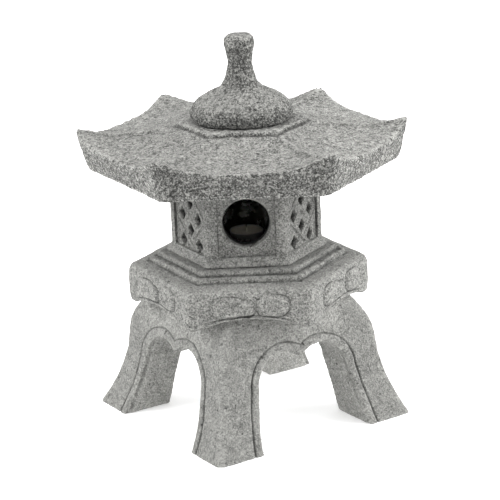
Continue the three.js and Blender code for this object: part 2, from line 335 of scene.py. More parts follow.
class Recipe:
    # the nodes of one material, or of the sky
    def __init__(self, owner):
        self.owner = owner
        owner.use_nodes = True
        self.tree = owner.node_tree
        self.tree.nodes.clear()

    def add(self, kind, settings=None, sockets=None, out=0):
        node = self.tree.nodes.new(kind)
        for name, value in (settings or {}).items():
            setattr(node, name, value)
        for name, value in (sockets or {}).items():
            if isinstance(value, Reading):
                self.tree.links.new(value.socket, node.inputs[name])
            else:
                node.inputs[name].default_value = value
        return Reading(self, node.outputs[out] if node.outputs else None)

    def place(self):
        return self.add("ShaderNodeTexCoord", out="Object")

    def parts(self, place):
        node = self.add("ShaderNodeSeparateXYZ", None, {"Vector": place}).socket.node
        return [Reading(self, socket) for socket in node.outputs]

    def mark(self, name):
        return self.add("ShaderNodeAttribute", {"attribute_name": name}, out="Fac")

    def noise(self, place, size, detail=2.0, roughness=0.5, distortion=0.0):
        return self.add("ShaderNodeTexNoise", None, {
            "Vector": place, "Scale": 1 / size, "Detail": detail, "Roughness": roughness,
            "Distortion": distortion})

    def grains(self, place, size, out="Distance"):
        return self.add("ShaderNodeTexVoronoi", None, {"Vector": place, "Scale": 1 / size}, out)

    def between(self, value, low, high):
        return self.add("ShaderNodeMapRange", {"interpolation_type": "SMOOTHSTEP"}, {
            "Value": value, "From Min": low, "From Max": high, "To Min": 0.0, "To Max": 1.0})

    def tint(self, share, first, second, how="MIX"):
        return self.add("ShaderNodeMix", {"data_type": "RGBA", "blend_type": how},
                        {0: share, 6: first, 7: second}, out=2)

    def bump(self, height, distance, strength=1.0, under=None):
        sockets = {"Height": height, "Distance": distance, "Strength": strength}
        if under:
            sockets["Normal"] = under
        return self.add("ShaderNodeBump", None, sockets)

    def finish(self, sockets):
        shader = self.add("ShaderNodeBsdfPrincipled", None, sockets)
        self.add("ShaderNodeOutputMaterial", None, {"Surface": shader})
        return self.owner


def grey(level, warmth=0.0):
    # warmth takes blue away
    return (level, level, level * (1 - warmth), 1)


# where the flame blackens the stone: round the axis, and from low to high
chamber = {"sootStart": 0.0650, "sootEnd": 0.0715, "low": 0.190, "high": 0.2985}


def crackle(stone, place, size, width, cover):
    # thin curved lines with gaps in them
    line = stone.noise(place, size, 2, 0.5, 0.5)
    offLine = stone.add("ShaderNodeMath", {"operation": "ABSOLUTE"}, {0: line - 0.5})
    gaps = stone.between(stone.noise(place, size * 1.6, 1) + cover, 0.42, 0.60)
    return (1 - stone.between(offLine, width * 0.2, width)) * gaps


def castStone(name, look):
    stone = Recipe(bpy.data.materials.new(name))
    place = stone.place()
    dirtAndShade, worn, steep, shade = (stone.mark(mark) for mark in ("dirtAndShade", "worn", "steep", "shade"))
    drift = stone.noise(place, look["driftSize"], 3)
    patches = stone.noise(place, look["patchSize"], 3, 0.6)
    sand = stone.noise(place, look["grain"], 2, 0.65)
    crystals = stone.grains(place, look["grain"] * 0.8, "Color")
    flecks = stone.noise(place, look["grain"] * 1.7, 1, 0.5, 0.6)
    pits = stone.between(stone.noise(place, look["pitSize"], 1), look["pitFrom"], look["pitFrom"] + 0.07)
    seam = crackle(stone, place, look["seamSize"], 0.030, 0.0)
    # more strokes on steep faces: painted shade of the grain's relief under light from above
    strokes = crackle(stone, place, look["strokeSize"], 0.075, steep * 0.12 - 0.06)

    speckle = stone.between(sand, 0.32, 0.68) * 0.6 + stone.between(crystals, 0.05, 0.95) * 0.4
    # steep faces get more speckle contrast and a darker tone: painted shade of the grain's relief under
    # light from above
    tone = (speckle - 0.5) * (steep * look["steepContrast"] + look["contrast"])
    tone = tone + (patches - 0.5) * look["mottle"] + (drift - 0.5) * look["drift"]
    tone = tone + worn * look["rub"] - steep * look["steepTone"] + look["tone"]
    colour = stone.tint(stone.between(tone, -0.15, 1.15), look["dark"], look["pale"])
    chips = stone.between(flecks, 0.66, 0.74)
    colour = stone.tint(chips * look["chips"], colour, look["chip"])
    # more dark grains on steep faces: painted shade
    darkGrains = stone.between(stone.noise(place, look["grain"] * 1.15, 1) + steep * 0.04, 0.64, 0.72)
    colour = stone.tint(darkGrains * look["darkGrains"], colour, look["dust"])
    colour = stone.tint(strokes * look["strokes"], colour, look["dust"])
    colour = stone.tint(seam * look["seams"], colour, look["dust"])
    # dirt, and painted shade in carved lines, hollows and joints, mixed towards the dark colour
    colour = stone.tint(dirtAndShade * look["dirtAndShade"], colour, look["dust"])
    colour = stone.tint(pits * look["pits"], colour, look["dust"])
    # painted shade where shade is above zero, painted light where it is below
    colour = stone.tint(1.0, colour, 1 - shade * 0.5, "MULTIPLY")

    across, along, height = stone.parts(place)
    reach = (across * across + along * along) ** 0.5
    inside = 1 - stone.between(reach + (patches - 0.5) * 0.006, chamber["sootStart"], chamber["sootEnd"])
    inside = inside * stone.between(height, chamber["low"], chamber["low"] + 0.004)
    inside = inside * (1 - stone.between(height, chamber["high"] - 0.001, chamber["high"]))
    colour = stone.tint(inside * 0.99, colour, look["soot"])

    relief = stone.between(sand, 0.25, 0.75) + crystals * 0.35 + chips * 0.3
    relief = relief - darkGrains * 0.6 - seam * 0.8 - strokes * 0.8
    fine = stone.bump(relief, look["bump"], 0.9)
    deep = stone.bump(1 - pits, look["pitDepth"], 1.0, fine)
    return stone.finish({
        "Base Color": colour,
        "Roughness": stone.between(sand, 0.1, 0.9) * 0.12 + 0.84,
        "Specular IOR Level": 0.25,
        "Normal": deep,
    })


coarseLook = {
    "grain": 0.0021, "contrast": 1.00, "steepContrast": 0.75, "mottle": 0.34, "rub": 0.22, "tone": 0.55,
    "steepTone": 0.07, "dirtAndShade": 0.75, "darkGrains": 0.80, "chips": 0.25,
    "driftSize": 0.055, "drift": 0.30, "patchSize": 0.011, "bump": 0.0014,
    "pitSize": 0.0062, "pitFrom": 0.70, "pits": 0.75, "pitDepth": 0.0012,
    "seamSize": 0.0085, "seams": 0.75, "strokeSize": 0.0033, "strokes": 0.78,
    "dark": grey(0.058, 0.04), "pale": grey(0.300, 0.055), "chip": grey(0.36, 0.04),
    "dust": grey(0.026, 0.06), "soot": grey(0.010, 0.05),
}
smoothLook = dict(coarseLook, grain=0.0018, contrast=0.85, steepContrast=0.25, darkGrains=0.55,
                  bump=0.0009, dark=grey(0.068, 0.04), pale=grey(0.285, 0.058), pitFrom=0.72,
                  seams=0.35, strokes=0.35, steepTone=0.0)
legLook = dict(smoothLook, contrast=0.60, steepContrast=0.10, darkGrains=0.38, chips=0.15, strokes=0.25,
               pale=grey(0.270, 0.058))


# base: four splayed legs round a hollow

base = {
    "turn": math.radians(-12.3), "footHalf": 0.133, "apronHalf": 0.105, "crownHalf": 0.0805,
    "flareTop": 0.095, "cornerRound": 0.007, "lobeRadius": 0.0339, "lobeShift": 0.025,
    "lobeHeight": 0.067, "archFoot": 0.0715, "deck": 0.025, "hollowRadius": 0.080,
    "hollowFloor": 0.080,
    "moulding": 0.012, "voxel": 0.0016, "grooveWidth": 0.0011, "grooveDepth": 0.0019,
    "arrisReach": 0.006, "arrisDepth": 0.0016, "bandRise": 0.0006, "waviness": 0.0011,
    "overhangFade": 0.018, "paintedFillLight": 1.2,
    "rough": ((0.040, 0.0016), (0.0065, 0.0007), (0.0030, 0.0004)),
}


def onBaseWalls(points):
    return onWalls(points, 4, base["turn"] + math.radians(45))


def baseHalf(height, top):
    if height < base["flareTop"]:
        spread = base["footHalf"] - base["apronHalf"]
        return base["apronHalf"] + spread * (1 - height / base["flareTop"]) ** 1.75
    rise = (height - base["flareTop"]) / (top - base["flareTop"])
    return base["apronHalf"] - (base["apronHalf"] - base["crownHalf"]) * rise ** 1.8


def archEdge(up):
    # half the arch's width at a height below its two lobes
    share = np.clip(up / base["lobeHeight"], 0, 1)
    neck = base["lobeShift"] + base["lobeRadius"]
    return neck + (base["archFoot"] - neck) * (1 - share) ** 0.9


def fromArch(across, up):
    # distance outwards from the edge of the two-lobed arch
    lobe = np.hypot(np.abs(across) - base["lobeShift"], up - base["lobeHeight"]) - base["lobeRadius"]
    side = np.abs(across) - archEdge(up)
    return np.where(up > base["lobeHeight"], lobe, side)


def archCutter(angle):
    reach = 2 * base["footHalf"]
    heights = [0.0, 0.022, 0.045, base["lobeHeight"]]
    cutter = raiseForm("arch", 4, [(float(archEdge(max(h, 0.0))) * math.sqrt(2), h) for h in heights],
                       math.radians(45))
    editAll()
    bpy.ops.transform.resize(value=(1, 8, 1), center_override=(0, 0, 0))
    bpy.ops.object.mode_set(mode="OBJECT")
    cutter.location.z = -0.0005
    cutter.rotation_euler.z = angle
    applyPlace()
    for side in (-1, 1):
        lobe = barThrough("lobe", 48, base["lobeRadius"], -reach, reach, side * base["lobeShift"],
                          angle, base["lobeHeight"])
        join(cutter, lobe, "UNION")
    return cutter


def carveBase(points, normals):
    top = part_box("base")[1].z
    across, out = onBaseWalls(points)
    up = points[:, 2]
    halves = np.interp(up, *zip(*[(h, baseHalf(h, top)) for h in np.linspace(0, top, 40)]))
    outer = ramp(out - halves, -0.009, -0.004)
    away = fromArch(across, up)
    fade = 1 - 0.5 * ramp(up, 0.075, 0.105)
    middle = base["moulding"] + 0.0008 * wander(points, 0.02)
    line = ridge(away - middle, base["grooveWidth"]) * outer * fade
    arris = (1 - ramp(away, 0, base["arrisReach"])) ** 2 * outer
    band = ramp(away, 0.001, 0.006) * (1 - ramp(away, 0.009, 0.0125)) * outer
    depth = base["grooveDepth"] * line + base["arrisDepth"] * arris - base["bandRise"] * band
    depth = depth + base["waviness"] * wander(points, 0.045) * outer
    # the groove line holds dirt and painted shade
    return depth, line * (0.85 + 0.15 * wander(points, 0.012))


def nearBaseLines(points):
    across, out = onBaseWalls(points)
    near = np.abs(fromArch(across, points[:, 2]) - base["moulding"]) < 0.0032
    return near & (out > base["crownHalf"] + 0.012)


def makeBase(material):
    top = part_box("base")[1].z
    flare, rise = base["flareTop"], top - base["flareTop"]
    heights = [share * flare for share in (0, 0.1, 0.22, 0.37, 0.55, 0.76, 1)]
    heights += [flare + share * rise for share in (0.22, 0.42, 0.6, 0.76, 0.9, 1)]
    rings = [(baseHalf(height, top) * math.sqrt(2), height) for height in heights]
    piece = raiseForm("base", 4, rings, base["turn"])
    roundCorners(piece, base["cornerRound"])
    hollow = raiseForm("hollow", 48, [(base["hollowRadius"], base["hollowFloor"]),
                                      (base["hollowRadius"], top - base["deck"])])
    join(piece, hollow)
    for turn in (45, 135):
        join(piece, archCutter(base["turn"] + math.radians(turn)))
    castSkin(piece, base["voxel"], 4)
    refine(piece, nearBaseLines)
    dirtAndShade = carve(piece, carveBase)
    roughen(piece, base["rough"])
    points = readPoints(piece)
    # painted light: the base under the platform's overhang and inside the arches is lightened where shade
    # falls
    overhang = platform["flats"] / 2 - onWalls(points, 6)[1]
    underOverhang = ramp(points[:, 2], 0.100, top - 0.012) * ramp(overhang, 0.0, base["overhangFade"])
    reveal = 1 - ramp(fromArch(onBaseWalls(points)[0], points[:, 2]), 0, 0.004)
    paintWeather(piece, dirtAndShade, -base["paintedFillLight"] * np.maximum(underOverhang, reveal))
    closeUp("stone_base", piece, "base", "base", material)


# platform: a hexagonal slab with two steps and carved clouds

platform = {
    "flats": 0.243, "drop": 0.0123, "dropWall": 0.0106, "archMargin": 0.008, "cornerRound": 0.005,
    "stepRise": 0.0058, "topStep": 0.0895, "lowStep": 0.098, "relief": 0.0023,
    "clouds": ((-0.0235, 0.0152, 0.0205, 0.0125), (-0.0060, 0.0140, 0.0130, 0.0098),
               (0.0258, 0.0160, 0.0185, 0.0130)),
    "bead": 0.0052, "voxel": 0.00135, "outlineWidth": 0.0009, "outlineDepth": 0.0016,
    "beadWidth": 0.0010, "beadDepth": 0.0011, "edgeDepth": 0.0009, "creaseWidth": 0.0013,
    "creaseDepth": 0.0015, "chipDepth": 0.0008, "waviness": 0.0010, "stepShade": 0.35,
    "rough": ((0.035, 0.0013), (0.0065, 0.0007), (0.0028, 0.0004)),
}


def dropEdge(across):
    # height of the slab's lower edge above its lowest corners
    half = platform["flats"] / 2 / math.sqrt(3) - platform["archMargin"]
    share = np.clip(np.abs(across) / half, 0, 1)
    return platform["drop"] * (1 - share ** 2)


def cloudDistance(across, up):
    # distance outwards from the outline of the two lobes; up is from the seat on the base
    nearest = np.full(len(across), 1.0)
    for middle, height, halfWidth, halfHeight in platform["clouds"]:
        reach = (np.abs((across - middle) / halfWidth) ** 2.5
                 + np.abs((up - height) / halfHeight) ** 2.5) ** 0.4
        nearest = np.minimum(nearest, (reach - 1) * min(halfWidth, halfHeight))
    return nearest


def platformSeat():
    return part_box("platform")[0].z + platform["drop"]


def carvePlatform(points, normals):
    across, out = onWalls(points, 6)
    seat, top = platformSeat(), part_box("platform")[1].z
    up = points[:, 2] - seat
    side = ramp(out, platform["flats"] / 2 - 0.008, platform["flats"] / 2 - 0.004)
    side = side * (1 - ramp(up, 0.030, 0.034))
    away = cloudDistance(across, up)
    inCloud = (1 - ramp(away, -0.0045, 0.0002)) * side
    outline = ridge(away - 0.0008 * wander(points, 0.012), platform["outlineWidth"]) * side
    strength = np.clip(0.65 + 0.6 * wander(points + 0.02, 0.017), 0.1, 1)
    lower = dropEdge(across) - platform["drop"]
    rise = up - lower - platform["bead"] - 0.0005 * wander(points, 0.02)
    bead = ridge(rise, platform["beadWidth"]) * side
    bead = bead * (1 - ramp(np.abs(across), 0.040, 0.050))
    edge = (1 - ramp(up - lower, 0.0, 0.003)) * side
    deckTop = ramp(normals[:, 2], 0.35, 0.8)
    steps = np.zeros(len(points))
    for reach, level in ((platform["lowStep"] + 0.0012, top - 2 * platform["stepRise"]),
                         (platform["topStep"] + 0.0012, top - platform["stepRise"])):
        crease = np.hypot(out - reach - 0.0006 * wander(points, 0.03), points[:, 2] - level)
        steps = np.maximum(steps, ridge(crease, platform["creaseWidth"]))
    patchy = 0.75 + 0.7 * wander(points, 0.019) + 0.5 * wander(points + 0.05, 0.0045)
    steps = steps * np.clip(patchy, 0.1, 1.2)
    onSteps = ramp(out, platform["topStep"] - 0.006, platform["topStep"] - 0.003)
    onSteps = onSteps * (1 - ramp(out, platform["lowStep"] + 0.002, platform["lowStep"] + 0.005))
    chips = onSteps * ramp(wander(points + 0.07, 0.0038), 0.15, 0.7)
    depth = platform["outlineDepth"] * outline * strength + platform["beadDepth"] * bead
    depth = depth + platform["edgeDepth"] * edge + platform["creaseDepth"] * steps
    depth = depth + platform["chipDepth"] * chips - platform["relief"] * inCloud
    depth = depth + platform["waviness"] * wander(points, 0.05) * side
    # dirt, and painted shade in the cloud outlines, the bead and the step creases; light dirt on the tops
    dirtAndShade = np.maximum(outline * strength * 0.6, bead * 0.5) + steps * 0.85
    return depth, np.clip(dirtAndShade + 0.10 * deckTop * (out < platform["lowStep"]), 0, 1)


def nearPlatformLines(points):
    across, out = onWalls(points, 6)
    up = points[:, 2] - platformSeat()
    wall = out > platform["flats"] / 2 - 0.006
    carving = np.abs(cloudDistance(across, up)) < 0.0028
    bead = (np.abs(up - dropEdge(across) + platform["drop"] - platform["bead"]) < 0.002)
    return wall & (up < 0.033) & (carving | (bead & (np.abs(across) < 0.048)))


def makePlatform(material):
    low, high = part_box("platform")
    wall, bottom, top = platform["flats"] / 2, low.z, high.z
    rimTop = top - 2 * platform["stepRise"]
    profile = [
        (wall - 0.0045, bottom), (wall - 0.0015, bottom + 0.004), (wall, bottom + 0.014),
        (wall, bottom + 0.030), (wall - 0.001, rimTop - 0.008), (wall - 0.0035, rimTop - 0.0035),
        (wall - 0.0075, rimTop - 0.0015), (platform["lowStep"] + 0.0015, rimTop),
        (platform["lowStep"], rimTop + platform["stepRise"] - 0.001),
        (platform["lowStep"] - 0.0015, rimTop + platform["stepRise"]),
        (platform["topStep"] + 0.0015, rimTop + platform["stepRise"]),
        (platform["topStep"], top - 0.001), (platform["topStep"] - 0.0015, top),
    ]
    rings = [(reach * cornerOfHex, height) for reach, height in profile]
    piece = raiseForm("platform", 6, rings, hexTurn)
    roundCorners(piece, platform["cornerRound"])
    seat = platformSeat()
    inner = (wall - platform["dropWall"]) * cornerOfHex
    join(piece, raiseForm("recess", 6, [(inner, bottom - 0.001), (inner, seat)], hexTurn))
    half = wall / math.sqrt(3) - platform["archMargin"]
    for number in range(6):
        arch = barThrough("drop", 48, 1.0, wall - 2 * platform["dropWall"], wall + 0.02, 0,
                          math.radians(60 * number), bottom, squeeze=(half, platform["drop"]))
        points = readPoints(arch)
        rise = (points[:, 2] - bottom) / platform["drop"]
        points[:, 2] = bottom + platform["drop"] * rise * np.abs(rise)      # now a low bow
        writePoints(arch, points)
        join(piece, arch)
    castSkin(piece, platform["voxel"], 3)
    refine(piece, nearPlatformLines)
    dirtAndShade = carve(piece, carvePlatform)
    roughen(piece, platform["rough"])
    out = onWalls(readPoints(piece), 6)[1]
    onTop = 1 - ramp(out, platform["topStep"], platform["lowStep"] + 0.004)
    paintWeather(piece, dirtAndShade, platform["stepShade"] * onTop)
    closeUp("stone_platform", piece, "platform", "platform", material)


# light box: a round window and five lattice panels round a bore

lightBox = {
    "flats": 0.151, "bore": 0.0565, "panelDepth": 0.003, "pier": 0.0117, "sill": 0.011,
    "lintel": 0.012, "footFlare": 0.005, "flareHeight": 0.010, "cornerRound": 0.004,
    "windowRadius": 0.0265, "windowPanel": 0.043, "columnShift": 0.0179, "rowShift": 0.0154,
    "rearSide": 3, "blindDepth": 0.008, "holeHalfWidth": 0.0074, "holeHalfHeight": 0.0082,
    "voxel": 0.0012, "borderWidth": 0.0008, "stripInset": 0.0032, "stripWidth": 0.0006,
    "borderDepth": 0.0012, "cutWidth": 0.0008, "cutDepth": 0.0012, "lipReach": 0.0022,
    "lipDepth": 0.0010, "waviness": 0.0006, "shade": 0.22,
    "rough": ((0.030, 0.0010), (0.0060, 0.0006), (0.0026, 0.0004)),
}


def panelMiddle():
    low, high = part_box("light_box")
    return (low.z + lightBox["sill"] + high.z - lightBox["lintel"]) / 2


def onWindowSide(points):
    return (points[:, 1] < 0) & (np.abs(points[:, 0]) < lightBox["windowPanel"])


def latticeHole(inner, side, angle, height):
    # a lozenge cut in from the face of a panel
    return barThrough("hole", 4, 1.0, inner, lightBox["flats"] / 2, side, angle, height,
                      squeeze=(lightBox["holeHalfWidth"], lightBox["holeHalfHeight"]))


def carveLightBox(points, normals):
    across, out = onWalls(points, 6)
    low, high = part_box("light_box")
    up = points[:, 2] - panelMiddle()
    halfPanel = lightBox["flats"] / 2 / math.sqrt(3) - lightBox["pier"]
    halfHeight = (high.z - low.z - lightBox["sill"] - lightBox["lintel"]) / 2
    face = ramp(out, lightBox["flats"] / 2 - 0.008, lightBox["flats"] / 2 - 0.005)
    window = onWindowSide(points)
    inset = np.minimum(halfPanel - np.abs(across), halfHeight - np.abs(up))
    border = ridge(inset - 0.0003, lightBox["borderWidth"]) * face
    border = border * np.clip(0.55 + 0.6 * wander(points + 0.013, 0.025), 0.1, 1)
    strip = ridge(inset - lightBox["stripInset"], lightBox["stripWidth"]) * face * ~window
    strip = strip * (np.abs(up) < halfHeight - 0.004) * 0.6
    border = np.maximum(border, strip)
    u, v = across / lightBox["columnShift"], up / lightBox["rowShift"]
    slope = math.hypot(1 / lightBox["columnShift"], 1 / lightBox["rowShift"])
    falling = np.abs((u + v) / 2 - np.round((u + v) / 2)) * 2 / slope
    rising = np.abs((u - v) / 2 - np.round((u - v) / 2)) * 2 / slope
    over = np.sin(u * math.pi / 2) * np.sin(v * math.pi / 2)
    width = lightBox["cutWidth"]
    cut = ridge(falling - width, width) * ramp(over, -0.5, 0.0)
    cut = cut + ridge(rising - width, width) * ramp(-over, -0.2, 0.3)
    inPanel = ramp(inset, 0.0015, 0.003) * face * ~window
    cut = np.clip(cut, 0, 1) * inPanel * (0.65 + 0.35 * wander(points + 0.05, 0.012))
    ring = np.hypot(across, up) - lightBox["windowRadius"]
    lip = (1 - ramp(ring, 0, lightBox["lipReach"])) * face * window
    depth = lightBox["borderDepth"] * border + lightBox["cutDepth"] * cut + lightBox["lipDepth"] * lip
    depth = depth + lightBox["waviness"] * wander(points, 0.04) * face
    # the carved lines hold dirt and painted shade, and a painted shadow runs along the foot where the box
    # stands on the platform
    foot = ridge(points[:, 2] - low.z, 0.0012) * 0.6 * (out > 0.06)
    return depth, np.clip(border * 0.8 + cut * 0.7 + foot, 0, 1)


def nearLightBoxLines(points):
    across, out = onWalls(points, 6)
    wall = lightBox["flats"] / 2
    window = onWindowSide(points)
    up = np.abs(points[:, 2] - panelMiddle())
    face = (out > wall - 0.0045) & (out < wall + 0.001) & (up < 0.040)
    return face & (np.abs(across) < 0.033) & ~(window & (np.abs(across) < 0.028))


def makeLightBox(material):
    low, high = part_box("light_box")
    wall, bottom, top = lightBox["flats"] / 2, low.z, high.z
    flare, rise = lightBox["footFlare"], lightBox["flareHeight"]
    profile = [(wall + flare, bottom), (wall + flare, bottom + 0.3 * rise),
               (wall + flare * 0.5, bottom + 0.6 * rise), (wall, bottom + rise), (wall, top)]
    rings = [(reach * cornerOfHex, height) for reach, height in profile]
    piece = raiseForm("light_box", 6, rings, hexTurn)
    roundCorners(piece, lightBox["cornerRound"])
    bore = lightBox["bore"]
    join(piece, raiseForm("bore", 64, [(bore, bottom - 0.001), (bore, top + 0.001)]))
    panelHalf = wall / math.sqrt(3) - lightBox["pier"]
    panelHigh = top - bottom - lightBox["sill"] - lightBox["lintel"]
    middle = panelMiddle()
    face = wall - lightBox["panelDepth"]
    for number in range(6):
        angle = math.radians(60 * number)
        panel = barThrough("panel", 4, math.sqrt(0.5), face, wall + 0.01, 0, angle,
                           middle, math.radians(45), (2 * panelHalf, panelHigh))
        join(piece, panel)
        if number == 0:
            window = barThrough("window", 64, lightBox["windowRadius"], bore / 2, wall, 0, angle, middle)
            join(piece, window)
            continue
        inner = face - lightBox["blindDepth"] if number == lightBox["rearSide"] else bore / 2
        for row in range(-2, 3):
            for column in ((-1, 1) if row % 2 == 0 else (0,)):
                join(piece, latticeHole(inner, column * lightBox["columnShift"], angle,
                                        middle + row * lightBox["rowShift"]))
    castSkin(piece, lightBox["voxel"], 3)
    refine(piece, nearLightBoxLines)
    dirtAndShade = carve(piece, carveLightBox)
    roughen(piece, lightBox["rough"])
    # painted shade over the whole box, which stands under the roof
    paintWeather(piece, dirtAndShade, lightBox["shade"])
    closeUp("stone_light_box", piece, "light_box", "light_box", material)


# roof: six hollow slopes that rise to blunt horns

roof = {
    "corner": 0.191, "lean": 0.0107, "eaveHeight": 0.0302, "tipRise": 0.0152, "slopeRise": 0.0165,
    "collarCorner": 0.076, "collarHeight": 0.0038, "collarRound": 0.014, "cornerRound": 0.009,
    "hornRise": 0.004, "hornReach": 0.022, "spigotRadius": 0.0535,
    "spigot": 0.008, "socketRadius": 0.020, "socketDepth": 0.027, "voxel": 0.00165,
    "frontHalf": 0.094, "scratchWidth": 0.0009, "scratchDepth": 0.0016, "creaseWidth": 0.0020,
    "creaseDepth": 0.0012, "hipWidth": 0.0048, "hipRise": 0.0020, "bluntReach": 0.0045,
    "bluntDepth": 0.0034, "waviness": 0.0013,
    "rough": ((0.030, 0.0018), (0.0075, 0.0014), (0.0033, 0.0009)),
    "scratches": (((-0.074, 0.020), (-0.066, 0.025)), ((-0.062, 0.013), (-0.040, 0.0165)),
                  ((-0.080, 0.008), (-0.076, 0.014)), ((0.028, 0.012), (0.031, 0.010))),
}


def hornNearness(points):
    # from 1 at an eave's corner down to 0 away from it
    across, out = onWalls(points, 6)
    eave = roof["corner"] / cornerOfHex
    return ridge(np.hypot(eave * math.tan(hexTurn) - np.abs(across), eave - out), roof["hornReach"])


def liftCorners(points):
    # how far the eaves rise towards their corners
    across, out = onWalls(points, 6)
    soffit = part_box("roof")[0].z + roof["spigot"]
    eave = roof["corner"] / cornerOfHex
    collar = roof["collarCorner"] / cornerOfHex
    inward = np.clip((eave - out) / (eave - collar), 0, 1)
    toCorner = np.clip(np.abs(across) / np.maximum(out, 1e-6) / math.tan(hexTurn), 0, 1)
    up = np.clip((points[:, 2] - soffit) / roof["eaveHeight"], 0, 1)
    horn = roof["hornRise"] * hornNearness(points)
    return up * (roof["tipRise"] * (1 - inward) ** 2 * toCorner ** 2.7 + horn)


def carveRoof(points, normals):
    across, out = onWalls(points, 6)
    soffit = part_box("roof")[0].z + roof["spigot"]
    up = points[:, 2] - soffit
    eave = roof["corner"] / cornerOfHex
    fascia = (1 - ramp(np.abs(normals[:, 2]), 0.6, 0.85)) * (out > eave - 0.02)
    front = fascia * (points[:, 1] < 0) * (np.abs(points[:, 0]) < roof["frontHalf"])
    marks = np.zeros(len(points))
    for start, end in roof["scratches"]:
        marks = np.maximum(marks, ridge(toSegment(across, up, start, end), roof["scratchWidth"]))
    marks = marks * front
    collarFoot = roof["eaveHeight"] + roof["slopeRise"]
    collarReach = roof["collarCorner"] / cornerOfHex + 0.0005
    crease = ridge(np.hypot(out - collarReach, up - collarFoot), roof["creaseWidth"])
    aside, along = onWalls(points, 6, hexTurn)
    onHip = ramp(normals[:, 2], 0.2, 0.6) * ramp(along, roof["collarCorner"], roof["collarCorner"] + 0.02)
    onHip = onHip * (1 - ramp(along, roof["corner"] - 0.030, roof["corner"] - 0.008))
    hip = ridge(aside, roof["hipWidth"]) * onHip
    patchy = ramp(wander(points + 0.03, 0.009), -0.4, 0.4)
    besideHip = ridge(np.abs(aside) - 0.0045, 0.0030) * onHip * patchy
    tipTop = roof["eaveHeight"] + roof["tipRise"] + roof["hornRise"]
    fromTip = np.hypot(np.hypot(aside, along - roof["corner"] + 0.003), up - tipTop + 0.001)
    blunt = ridge(fromTip, roof["bluntReach"])
    depth = roof["scratchDepth"] * marks + roof["creaseDepth"] * crease
    depth = depth + roof["waviness"] * wander(points, 0.05) * (up > 0.004)
    depth = depth + roof["bluntDepth"] * blunt - roof["hipRise"] * hip
    # the scratches, the crease round the collar's foot and the lines beside the hips hold dirt and
    # painted shade
    return depth, np.clip(marks + crease * 0.55 + besideHip * 0.35, 0, 1)


def makeRoof(material):
    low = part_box("roof")[0]
    soffit = low.z + roof["spigot"]
    eaveTop = soffit + roof["eaveHeight"]
    corner, collar = roof["corner"], roof["collarCorner"]
    lean = roof["lean"] * cornerOfHex
    rings = [(corner - lean, soffit), (corner - lean / 2, soffit + roof["eaveHeight"] / 2)]
    for inward in (0, 0.08, 0.22, 0.4, 0.6, 0.8, 1):
        rings.append((corner + (collar - corner) * inward, eaveTop + roof["slopeRise"] * inward ** 1.8))
    piece = raiseForm("roof", 6, rings, hexTurn)
    roundCorners(piece, roof["cornerRound"])
    editAll()
    bpy.ops.mesh.subdivide(number_cuts=7)
    bpy.ops.object.mode_set(mode="OBJECT")
    points = readPoints(piece)
    points[:, 2] += liftCorners(points)
    writePoints(piece, points)

    collarFoot = eaveTop + roof["slopeRise"]
    collarTop = collarFoot + roof["collarHeight"]
    rings = [(collar - 0.001, collarFoot - 0.004), (collar, collarFoot + 0.0018),
             (collar - 0.0006, collarTop - 0.0009), (collar - 0.0022, collarTop)]
    plate = raiseForm("collar", 6, rings, hexTurn)
    roundCorners(plate, roof["collarRound"], 6)
    join(piece, plate, "UNION")
    spigot = roof["spigotRadius"]
    join(piece, raiseForm("spigot", 64, [(spigot - 0.0015, low.z), (spigot, low.z + 0.0015),
                                         (spigot, soffit + 0.004)]), "UNION")
    socket = roof["socketRadius"]
    join(piece, raiseForm("socket", 48, [(socket, collarTop - roof["socketDepth"]),
                                         (socket, collarTop + 0.01)]))
    castSkin(piece, roof["voxel"], 3)
    dirtAndShade = carve(piece, carveRoof)
    points, normals = readPoints(piece), readNormals(piece)
    up = points[:, 2] - soffit
    nearEave = onWalls(points, 6)[1] > corner / cornerOfHex - 0.02
    fascia = (1 - ramp(np.abs(normals[:, 2]), 0.5, 0.8)) * nearEave
    facing = ramp(-normals[:, 1], 0.4, 0.9)
    # painted shade on the front fascia, painted light on the side fascias and a painted highlight along
    # the eaves' bottom arris
    shade = fascia * (0.54 * facing - 0.36 - 0.55 * (1 - ramp(up, 0.0015, 0.0035)))
    # darker patches at the horn tops
    shade = shade + 0.45 * hornNearness(points) * ramp(wander(points, 0.010), -0.3, 0.5)
    # painted light: the left and right slopes lighter, the right one more
    paintedSideLight = 0.14 * ramp(-points[:, 0], 0.06, 0.14) + 0.28 * ramp(points[:, 0], 0.05, 0.13)
    shade = shade - (1 - fascia) * paintedSideLight
    roughen(piece, roof["rough"])
    paintWeather(piece, dirtAndShade, shade)
    closeUp("stone_roof", piece, "roof", "roof", material)


# finial: a low dome drawn up into a knob

finial = {
    "domeRadius": 0.058, "tenonRadius": 0.018, "tenon": 0.025, "voxel": 0.00095,
    "knobFoot": 0.070, "knobFootReach": 0.014,
    "rough": ((0.022, 0.0018), (0.0070, 0.0014), (0.0030, 0.0008)),
    "slope": ((0.0577, 0.0115), (0.0565, 0.0150), (0.0535, 0.0200), (0.0490, 0.0243), (0.0430, 0.0283),
              (0.0364, 0.0317), (0.0302, 0.0343), (0.0252, 0.0369), (0.0214, 0.0402), (0.0187, 0.0447),
              (0.0166, 0.0507), (0.0148, 0.0587), (0.0136, 0.0657)),
    "knob": ((0.0142, 0.0270), (0.0152, 0.0200), (0.0168, 0.0140), (0.0173, 0.0095), (0.0165, 0.0050),
             (0.0135, 0.0018), (0.0070, 0.0003)),
}


